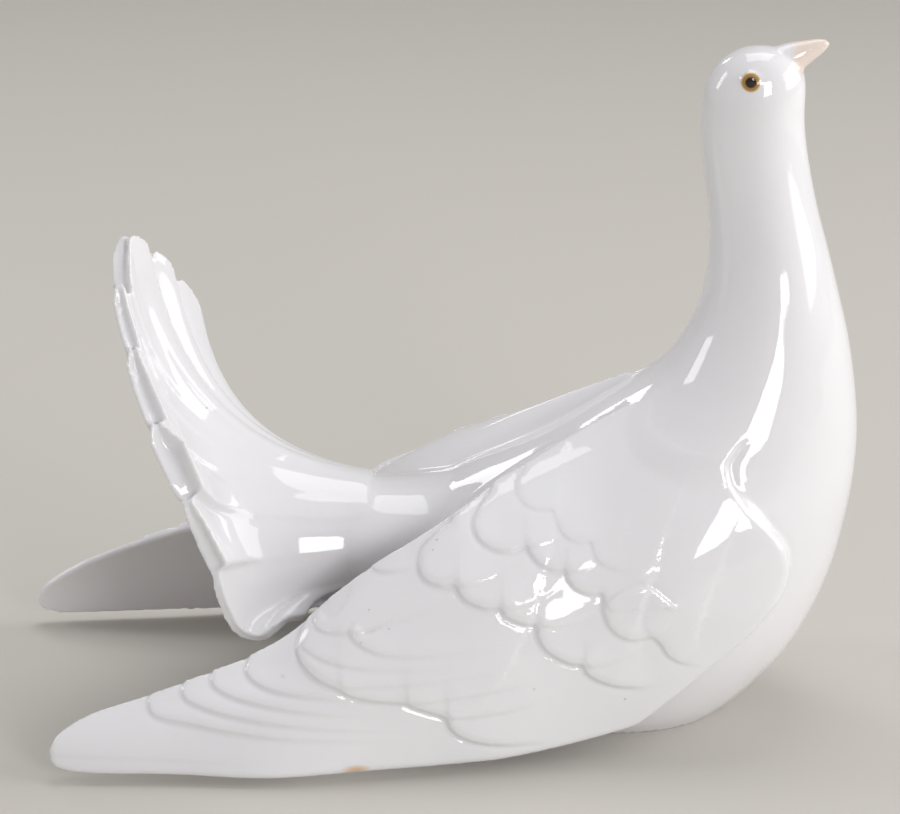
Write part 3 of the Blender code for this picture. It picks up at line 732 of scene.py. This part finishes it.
def glazed_porcelain(settings):
    """Slip-cast hard-paste porcelain under a clear feldspar glaze: a bright, slightly cool white with a wet
    mirror gloss, soft light under the surface, and thin peach and amber enamels on the beak and the eyes."""
    material = bpy.data.materials.new("glazed_porcelain")
    material.use_nodes = True
    tree = material.node_tree
    shader = tree.nodes["Principled BSDF"]
    shader.inputs["Roughness"].default_value = 0.045
    shader.inputs["IOR"].default_value = 1.52
    shader.inputs["Subsurface Weight"].default_value = 0.12
    shader.inputs["Subsurface Radius"].default_value = (1.0, 0.85, 0.7)
    shader.inputs["Subsurface Scale"].default_value = 0.003
    place = add_node(tree, "ShaderNodeTexCoord").outputs["Object"]

    # Faint clouding of the glaze, a few centimetres across
    clouds = add_node(tree, "ShaderNodeTexNoise", {"Scale": 30.0, "Detail": 3.0}, {"Vector": place})
    white = add_node(tree, "ShaderNodeMix", {
        "data_type": "RGBA", "A": hex_colour(settings.white_code), "B": hex_colour(settings.white_shade_code),
    }, {"Factor": clouds.outputs["Fac"]})
    colour = white.outputs["Result"]

    # Beak: peach from the face to the tip, fading in over the bump at its root
    split = add_node(tree, "ShaderNodeSeparateXYZ", {}, {"Vector": place})
    beak_root = (BEAK_ROOT * MM) + MIDDLE.x
    beyond_face = add_node(tree, "ShaderNodeMapRange", {
        "From Min": beak_root - 0.001, "From Max": beak_root + 0.002,
    }, {"Value": split.outputs["X"]})
    above_neck = add_node(tree, "ShaderNodeMapRange", {
        "From Min": 0.2325, "From Max": 0.2345,
    }, {"Value": split.outputs["Z"]})
    both = add_node(tree, "ShaderNodeMath", {"operation": "MULTIPLY"}, {
        0: beyond_face.outputs["Result"], 1: above_neck.outputs["Result"],
    })
    beak = add_node(tree, "ShaderNodeMix", {"data_type": "RGBA", "B": hex_colour(settings.beak_code)}, {
        "Factor": both.outputs["Value"], "A": colour,
    })
    colour = beak.outputs["Result"]

    # Eyes: an amber ring round a dark brown pupil, by the distance from the eye's middle seen from the side
    eye_middle = (EYE_PLACE[0] * MM + MIDDLE.x, MIDDLE.y, EYE_PLACE[1] * MM)
    offset = add_node(tree, "ShaderNodeVectorMath", {"operation": "SUBTRACT", 1: eye_middle}, {0: place})
    flat = add_node(tree, "ShaderNodeVectorMath", {"operation": "MULTIPLY", 1: (1.0, 0.0, 1.0)}, {
        0: offset.outputs["Vector"],
    })
    distance = add_node(tree, "ShaderNodeVectorMath", {"operation": "LENGTH"}, {0: flat.outputs["Vector"]})
    for radius, edge, code in (
        (0.0034, 0.00025, settings.eye_ring_code),
        (0.0030, 0.0003, settings.eye_iris_code),
        (0.0019, 0.00025, settings.pupil_code),
    ):
        mask = add_node(tree, "ShaderNodeMapRange", {
            "From Min": radius - edge, "From Max": radius + edge, "To Min": 1.0, "To Max": 0.0,
        }, {"Value": distance.outputs["Value"]})
        ring = add_node(tree, "ShaderNodeMix", {"data_type": "RGBA", "B": hex_colour(code)}, {
            "Factor": mask.outputs["Result"], "A": colour,
        })
        colour = ring.outputs["Result"]

    # Iron specks and the rusty stain, and the painted shade of the two open pits, each mixed into the colour
    for point, radius, drawn_out, strength, code in FLAWS_AND_PIT_SHADE:
        middle = [part * MM for part in point]
        offset = add_node(tree, "ShaderNodeVectorMath", {"operation": "SUBTRACT", 1: middle}, {0: place})
        squeezed = add_node(tree, "ShaderNodeVectorMath", {
            "operation": "MULTIPLY", 1: (1.0 / drawn_out, 1.0, 1.0),
        }, {0: offset.outputs["Vector"]})
        away = add_node(tree, "ShaderNodeVectorMath", {"operation": "LENGTH"}, {
            0: squeezed.outputs["Vector"],
        })
        mask = add_node(tree, "ShaderNodeMapRange", {
            "From Min": 0.3 * radius * MM, "From Max": radius * MM, "To Min": strength, "To Max": 0.0,
        }, {"Value": away.outputs["Value"]})
        flaw_and_pit_shade = add_node(tree, "ShaderNodeMix", {"data_type": "RGBA", "B": hex_colour(code)}, {
            "Factor": mask.outputs["Result"], "A": colour,
        })
        colour = flaw_and_pit_shade.outputs["Result"]
    tree.links.new(colour, shader.inputs["Base Color"])

    # The glaze's slight unevenness, which makes the reflections waver
    waves = add_node(tree, "ShaderNodeTexNoise", {"Scale": 60.0, "Detail": 1.0}, {"Vector": place})
    bump = add_node(tree, "ShaderNodeBump", {"Strength": 0.05, "Distance": 0.0008}, {
        "Height": waves.outputs["Fac"],
    })
    tree.links.new(bump.outputs["Normal"], shader.inputs["Normal"])
    return material


def bisque_foot():
    """Unglazed bisque on the underside, where the glaze was wiped off for the kiln shelf: it looks chalky
    and dull, with a fine grit of about a millimetre."""
    material = bpy.data.materials.new("bisque_foot")
    material.use_nodes = True
    tree = material.node_tree
    shader = tree.nodes["Principled BSDF"]
    shader.inputs["Roughness"].default_value = 0.75
    place = add_node(tree, "ShaderNodeTexCoord").outputs["Object"]
    grit = add_node(tree, "ShaderNodeTexNoise", {"Scale": 900.0, "Detail": 4.0}, {"Vector": place})
    tone = add_node(tree, "ShaderNodeMix", {
        "data_type": "RGBA", "A": hex_colour("#D9D2C6"), "B": hex_colour("#EAE5DB"),
    }, {"Factor": grit.outputs["Fac"]})
    tree.links.new(tone.outputs["Result"], shader.inputs["Base Color"])
    bump = add_node(tree, "ShaderNodeBump", {"Strength": 0.3, "Distance": 0.0002}, {
        "Height": grit.outputs["Fac"],
    })
    tree.links.new(bump.outputs["Normal"], shader.inputs["Normal"])
    return material


def soften(dove, settings):
    """Rounds the skin as the glaze does: a little all over, and more where the wings grow out of the body,
    on the smooth breast and neck, and on the rump."""
    local = (read_vectors(dove.data, "co") - np.array(MIDDLE)) / MM
    x, y, z = local[:, 0], np.abs(local[:, 1]), local[:, 2]
    shoulder = ramp(x, -5, 20) * (1 - ramp(x, 48, 60)) * ramp(z, 92, 108) * (1 - ramp(z, 150, 165))
    smooth_body = ramp(x, 30, 50) * ramp(z, 6, 20) * (1 - ramp(z, 220, 230))
    smooth_body *= 1 - ramp(y, 33, 40) * (1 - ramp(z, 105, 120))
    rump = ramp(x, -100, -85) * (1 - ramp(x, -30, -10)) * ramp(z, 70, 80) * (1 - ramp(y, 26, 32))
    chosen = np.clip(np.maximum(np.maximum(shoulder, smooth_body), rump), 0, 1)

    group = dove.vertex_groups.new(name="flowing")
    finest = 10
    levels = np.round(chosen * finest).astype(int)
    for level in range(1, finest + 1):
        picked = np.nonzero(levels == level)[0]
        if len(picked):
            group.add(picked.tolist(), level / finest, "REPLACE")
    passes = (("glaze", settings.softening, ""), ("flow", settings.flowing, "flowing"))
    for name, iterations, within in passes:
        glaze = dove.modifiers.new(name, "SMOOTH")
        glaze.factor = 0.5
        glaze.iterations = iterations
        glaze.vertex_group = within
        bpy.ops.object.modifier_apply(modifier=name)


def backdrop_form():
    """Seamless paper: level under the bird and in front of it, then curving up far behind. All in metres."""
    width, first, last, bend_at, bend = 7.0, -3.5, 4.5, 1.5, 1.1
    deselect()
    bpy.ops.mesh.primitive_grid_add(x_subdivisions=2, y_subdivisions=120, size=1.0)
    floor = bpy.context.object
    floor.name = "floor"
    for vertex in floor.data.vertices:
        run = mix(first, last, vertex.co.y + 0.5)
        turn = min(max(run - bend_at, 0.0) / bend, math.pi / 2)
        beyond = max(run - bend_at - bend * math.pi / 2, 0.0)
        vertex.co = (
            vertex.co.x * width,
            min(run, bend_at) + bend * math.sin(turn),
            bend * (1 - math.cos(turn)) + beyond,
        )
    floor.data.shade_smooth()
    return floor


def soft_box(name, heading, rise, distance, size, power):
    """A rectangular lamp aimed at the bird."""
    heading, rise = math.radians(heading), math.radians(rise)
    level = math.cos(rise)
    away = Vector((math.sin(heading) * level, -math.cos(heading) * level, math.sin(rise)))
    deselect()
    bpy.ops.object.light_add(type="AREA", location=LAMP_AIM + away * distance)
    lamp = bpy.context.object
    lamp.name = name
    lamp.data.shape = "RECTANGLE"
    lamp.data.size, lamp.data.size_y = size
    lamp.data.energy = power
    lamp.rotation_euler = away.to_track_quat("Z", "Y").to_euler()


class DoveSettings(bpy.types.PropertyGroup):
    grain: bpy.props.FloatProperty(
        name="Skin grain", description="Fineness of the cast skin",
        default=0.0008, unit="LENGTH", precision=5)
    softening: bpy.props.IntProperty(
        name="Softening", description="How far the glaze rounds every edge", default=5, min=0, max=40)
    flowing: bpy.props.IntProperty(
        name="Flow", description="How far the body flows into the shoulders and the rump",
        default=40, min=0)
    feather_thickness: bpy.props.FloatProperty(
        name="Feather thickness", description="Thickness of a wing feather",
        default=0.0032, unit="LENGTH")
    layer_step: bpy.props.FloatProperty(
        name="Layer step", description="How far each layer of wing feathers stands over the one below",
        default=0.00085, unit="LENGTH", precision=5)
    tail_thickness: bpy.props.FloatProperty(
        name="Tail thickness", description="Thickness of a tail feather", default=0.0034, unit="LENGTH")
    white_code: bpy.props.StringProperty(
        name="Porcelain", description="sRGB hex of the glazed white", default="#EEEDEF")
    white_shade_code: bpy.props.StringProperty(
        name="Porcelain shade", description="sRGB hex of its faint clouding", default="#E7E5E7")
    beak_code: bpy.props.StringProperty(
        name="Beak", description="sRGB hex of the beak", default="#E9DAD0")
    eye_ring_code: bpy.props.StringProperty(
        name="Eye rim", description="sRGB hex of the soft edge of the eye", default="#D9C6A4")
    eye_iris_code: bpy.props.StringProperty(
        name="Iris", description="sRGB hex of the amber ring", default="#A97F45")
    pupil_code: bpy.props.StringProperty(
        name="Pupil", description="sRGB hex of the pupil", default="#1E1512")


class StageSettings(bpy.types.PropertyGroup):
    floor_code: bpy.props.StringProperty(
        name="Backdrop", description="sRGB hex of the seamless paper", default="#CAC6BF")
    camera_height_angle: bpy.props.FloatProperty(
        name="Camera elevation", description="Degrees above level",
        default=math.radians(19), subtype="ANGLE")
    camera_distance: bpy.props.FloatProperty(
        name="Camera distance", description="From the lens to the bird", default=1.2, unit="LENGTH")


class DOVE_OT_figure(bpy.types.Operator):
    """Models the whole dove as one cast skin and glazes it"""

    bl_idname = "dove.figure"
    bl_label = "Cast the dove"

    def execute(self, context):
        settings = context.scene.dove_settings
        forms = [body_form(), upright_form("rump", RUMP_SLICES, 96, 90)]
        forms += head_forms()
        for side in (-1, 1):
            forms += [wing_form(side, settings), mantle_form(side)]
        forms.append(tail_form(settings))

        deselect()
        for form in forms:
            form.select_set(True)
        context.view_layer.objects.active = forms[0]
        bpy.ops.object.join()
        dove = context.object
        dove.name = "dove_skin"
        bpy.ops.object.mode_set(mode="EDIT")
        bpy.ops.mesh.select_all(action="SELECT")
        bpy.ops.mesh.normals_make_consistent(inside=False)
        bpy.ops.transform.translate(value=MIDDLE)
        bpy.ops.object.mode_set(mode="OBJECT")

        cast = dove.modifiers.new("cast", "REMESH")
        cast.mode = "VOXEL"
        cast.voxel_size = settings.grain * 1
        bpy.ops.object.modifier_apply(modifier="cast")
        soften(dove, settings)
        carve_wings(dove, settings)
        thin = dove.modifiers.new("thin", "DECIMATE")
        thin.ratio = min(1.0, SKIN_LIMIT / (2 * len(dove.data.polygons)))
        bpy.ops.object.modifier_apply(modifier="thin")

        bpy.ops.object.mode_set(mode="EDIT")
        bpy.ops.mesh.select_all(action="SELECT")
        bpy.ops.mesh.bisect(plane_co=(0, 0, 0.0), plane_no=(0, 0, 1), use_fill=True, clear_inner=True)
        bpy.ops.mesh.select_all(action="SELECT")
        bpy.ops.mesh.quads_convert_to_tris()
        bpy.ops.object.mode_set(mode="OBJECT")
        dove.data.shade_smooth()
        dove.data.materials.clear()
        dove.data.materials.append(glazed_porcelain(settings))
        dove.data.materials.append(bisque_foot())
        for face in dove.data.polygons:
            if face.normal.z < FOOT_LEVEL and face.center.z < FOOT_HEIGHT:
                face.material_index = 1
                face.use_smooth = False
        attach(dove, "root")
        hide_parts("dove")
        return {"FINISHED"}


class DOVE_OT_stage(bpy.types.Operator):
    """Sets the pale seamless floor, the soft boxes and the camera"""

    bl_idname = "dove.stage"
    bl_label = "Set the stage"

    def execute(self, context):
        settings = context.scene.dove_stage
        floor = backdrop_form()
        paper = bpy.data.materials.new("seamless_paper")
        paper.use_nodes = True
        shader = paper.node_tree.nodes["Principled BSDF"]
        shader.inputs["Base Color"].default_value = hex_colour(settings.floor_code)
        shader.inputs["Roughness"].default_value = 0.9
        floor.data.materials.append(paper)

        world = bpy.data.worlds.new("studio")
        context.scene.world = world
        world.use_nodes = True
        world.node_tree.nodes["Background"].inputs["Color"].default_value = hex_colour("#F4F4F6")
        world.node_tree.nodes["Background"].inputs["Strength"].default_value = 0.49

        for name, size in SOFT_BOXES.items():
            soft_box(name, *size)

        angle = settings.camera_height_angle
        away = Vector((0, -math.cos(angle), math.sin(angle)))
        place = CAMERA_AIM + away * settings.camera_distance
        deselect()
        bpy.ops.object.camera_add(location=place)
        camera = context.object
        camera.name = "photo_camera"
        camera.rotation_euler = (CAMERA_AIM - place).to_track_quat("-Z", "Y").to_euler()
        camera.data.sensor_width = 36.0
        camera.data.lens = 134.4
        context.scene.camera = camera
        context.scene.view_settings.view_transform = "Standard"
        return {"FINISHED"}


class DOVE_PT_panel(bpy.types.Panel):
    """Lists the dove's sizes and colours and the buttons that make it"""

    bl_label = "Porcelain dove"
    bl_idname = "DOVE_PT_panel"
    bl_space_type = "VIEW_3D"
    bl_region_type = "UI"
    bl_category = "Dove"

    def draw(self, context):
        for group, operators in (
            (context.scene.dove_settings, ("dove.figure",)),
            (context.scene.dove_stage, ("dove.stage",)),
        ):
            box = self.layout.box()
            for name in group.__annotations__:
                box.prop(group, name)
            for operator in operators:
                box.operator(operator)


CLASSES = (DoveSettings, StageSettings, DOVE_OT_figure, DOVE_OT_stage, DOVE_PT_panel)


def register():
    for cls in CLASSES:
        bpy.utils.register_class(cls)
    bpy.types.Scene.dove_settings = bpy.props.PointerProperty(type=DoveSettings)
    bpy.types.Scene.dove_stage = bpy.props.PointerProperty(type=StageSettings)


def unregister():
    del bpy.types.Scene.dove_stage
    del bpy.types.Scene.dove_settings
    for cls in reversed(CLASSES):
        bpy.utils.unregister_class(cls)


def main():
    register()
    bpy.ops.dove.figure()
    bpy.ops.dove.stage()


if __name__ == "__main__":
    main()
